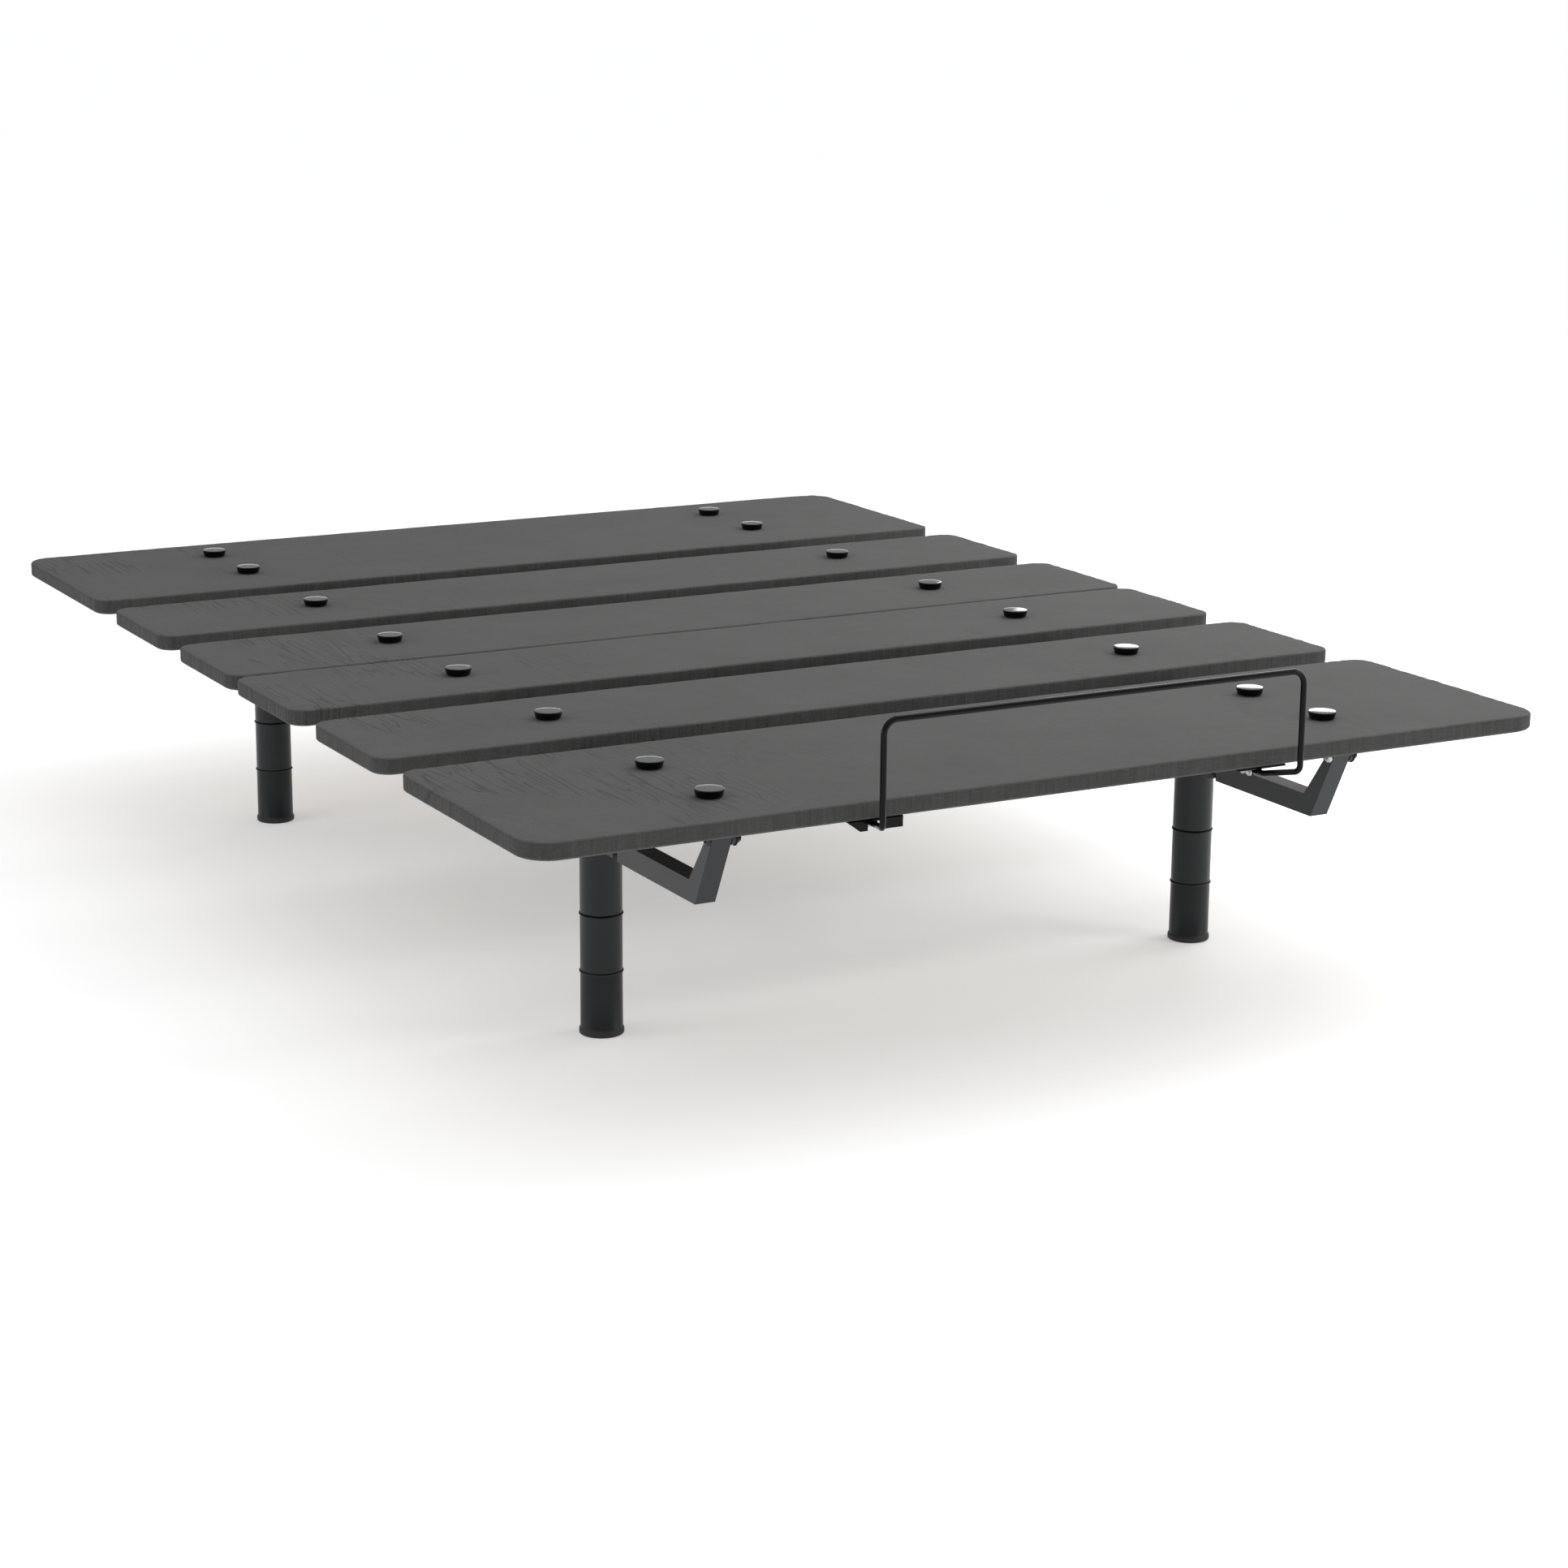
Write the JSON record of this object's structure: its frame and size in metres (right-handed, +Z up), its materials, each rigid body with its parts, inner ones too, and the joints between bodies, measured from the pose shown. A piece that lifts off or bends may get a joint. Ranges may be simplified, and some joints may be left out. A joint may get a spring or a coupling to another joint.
{
  "type": "adjustable bed base",
  "caption": "Queen-size adjustable bed base: upholstered deck panels on a folding steel frame with lifting back, knee and foot sections, stacked round legs and a mattress retainer bar.",
  "frame": {"origin": "on the floor, under the middle of the whole base's bounding box", "axes": "+X to the right-hand side seen from the foot, +Y toward the head, +Z up"},
  "size_m": [1.511, 2.0685, 0.5044],
  "materials": {
    "deck_fabric": "charcoal woven upholstery, matte",
    "deck_board": "bare plywood board",
    "bolt_cap": "gloss black",
    "leg_coat": "satin charcoal powder coat",
    "frame_coat": "satin charcoal powder coat",
    "retainer_coat": "gloss black",
    "bare_steel": "bright zinc",
    "motor_housing": "fine-grained black"
  },
  "bodies": {
    "base": {"deck_cover_seat_rear": "deck_fabric", "deck_board_seat_rear": "deck_board", "deck_cover_seat_front": "deck_fabric", "deck_board_seat_front": "deck_board", "bolt_cap_01": "bolt_cap", "bolt_cap_02": "bolt_cap", "bolt_cap_09": "bolt_cap", "bolt_cap_10": "bolt_cap", "leg_foot_left_lower": "leg_coat", "leg_foot_left_middle": "leg_coat", "leg_foot_left_upper": "leg_coat", "leg_foot_right_lower": "leg_coat", "leg_foot_right_middle": "leg_coat", "leg_foot_right_upper": "leg_coat", "leg_head_left_lower": "leg_coat", "leg_head_left_middle": "leg_coat", "leg_head_left_upper": "leg_coat", "leg_head_right_lower": "leg_coat", "leg_head_right_middle": "leg_coat", "leg_head_right_upper": "leg_coat", "seat_frame": "frame_coat", "side_rail_left": "frame_coat", "side_rail_right": "frame_coat", "crossbar_foot": "frame_coat", "crossbar_head": "frame_coat", "head_motor": "motor_housing", "foot_motor": "motor_housing", "control_box": "motor_housing"},
    "back_section": {"deck_cover_head": "deck_fabric", "deck_board_head": "deck_board", "deck_cover_back": "deck_fabric", "deck_board_back": "deck_board", "bolt_cap_03": "bolt_cap", "bolt_cap_04": "bolt_cap", "bolt_cap_05": "bolt_cap", "bolt_cap_06": "bolt_cap", "bolt_cap_07": "bolt_cap", "bolt_cap_08": "bolt_cap", "back_frame": "frame_coat", "back_lever": "frame_coat"},
    "thigh_section": {"deck_cover_thigh": "deck_fabric", "deck_board_thigh": "deck_board", "bolt_cap_11": "bolt_cap", "bolt_cap_12": "bolt_cap", "thigh_frame": "frame_coat", "thigh_lever": "frame_coat"},
    "foot_section": {"deck_cover_foot": "deck_fabric", "deck_board_foot": "deck_board", "bolt_cap_13": "bolt_cap", "bolt_cap_14": "bolt_cap", "bolt_cap_15": "bolt_cap", "bolt_cap_16": "bolt_cap", "foot_frame": "frame_coat", "mattress_retainer": "retainer_coat", "retainer_bracket_left": "frame_coat", "retainer_bracket_right": "frame_coat"},
    "link_left": {"lift_link_left": "frame_coat"},
    "link_right": {"lift_link_right": "frame_coat"},
    "head_rod": {"head_motor_rod": "bare_steel"},
    "foot_rod": {"foot_motor_rod": "bare_steel"}
  },
  "joints": [
    {"name": "back_lift", "type": "hinge", "parent": "base", "child": "back_section", "pos_m": [0, 0.29825, 0.3517], "axis": [1, 0, 0], "range_deg": [0, 60]},
    {"name": "thigh_lift", "type": "hinge", "parent": "base", "child": "thigh_section", "pos_m": [0, -0.24875, 0.3517], "axis": [-1, 0, 0], "range_deg": [0, 35]},
    {"name": "foot_fold", "type": "hinge", "parent": "thigh_section", "child": "foot_section", "pos_m": [0, -0.55075, 0.3517], "axis": [-1, 0, 0], "range_deg": [-44.8, 0]},
    {"name": "link_left_swing", "type": "hinge", "parent": "base", "child": "link_left", "pos_m": [-0.468, -0.62725, 0.267], "axis": [-1, 0, 0], "range_deg": [0, 26]},
    {"name": "link_right_swing", "type": "hinge", "parent": "base", "child": "link_right", "pos_m": [0.468, -0.62725, 0.267], "axis": [-1, 0, 0], "range_deg": [0, 26]},
    {"name": "head_rod_push", "type": "slide", "parent": "base", "child": "head_rod", "axis": [0, 1, 0], "range_m": [0, 0.13645]},
    {"name": "foot_rod_push", "type": "slide", "parent": "base", "child": "foot_rod", "axis": [0, -1, 0], "range_m": [0, 0.07461]}
  ],
  "couplings": [
    {"joint": "foot_fold", "follows": "thigh_lift", "ratio": -1.2753},
    {"joint": "link_left_swing", "follows": "thigh_lift", "ratio": 0.73924},
    {"joint": "link_right_swing", "follows": "thigh_lift", "ratio": 0.73924},
    {"joint": "head_rod_push", "follows": "back_lift", "m_per_rad": 0.13011},
    {"joint": "foot_rod_push", "follows": "thigh_lift", "m_per_rad": 0.12181}
  ]
}
